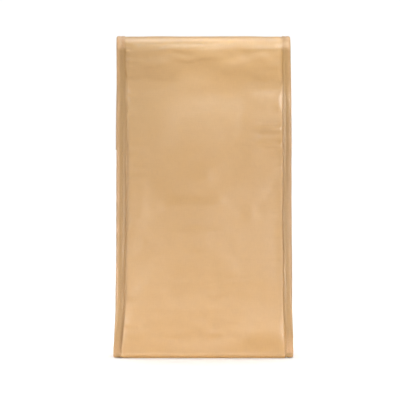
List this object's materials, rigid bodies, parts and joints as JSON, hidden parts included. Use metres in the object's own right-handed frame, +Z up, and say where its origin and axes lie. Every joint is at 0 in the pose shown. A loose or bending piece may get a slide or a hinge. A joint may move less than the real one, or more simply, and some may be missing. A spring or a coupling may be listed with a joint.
{
  "type": "insulated lunch bag",
  "caption": "Tall gusseted lunch bag of brown woven paper lined with foil-faced foam; its top rolls over and fastens behind to keep food warm or cool.",
  "frame": {"origin": "centre of the base, on the floor", "axes": "+Z up; -Y faces the viewer of the picture, the plain front; +Y is the side where the flap hangs; +X is the viewer's right"},
  "size_m": [0.1858, 0.11, 0.3299],
  "materials": {
    "woven_paper": "matt woven kraft paper",
    "binding_paper": "matt kraft paper strip",
    "foil_foam": "silver foil film bonded to thin foam",
    "hook": "moulded hooks on a woven tape",
    "loop": "brushed loop tape"
  },
  "bodies": {
    "root": {"body_wrap": "woven_paper", "left_gusset": "woven_paper", "right_gusset": "woven_paper", "body_lining": "foil_foam", "left_lining": "foil_foam", "right_lining": "foil_foam", "left_seam_binding": "binding_paper", "right_seam_binding": "binding_paper", "hook_tape": "hook", "loop_tape": "loop"}
  },
  "joints": []
}
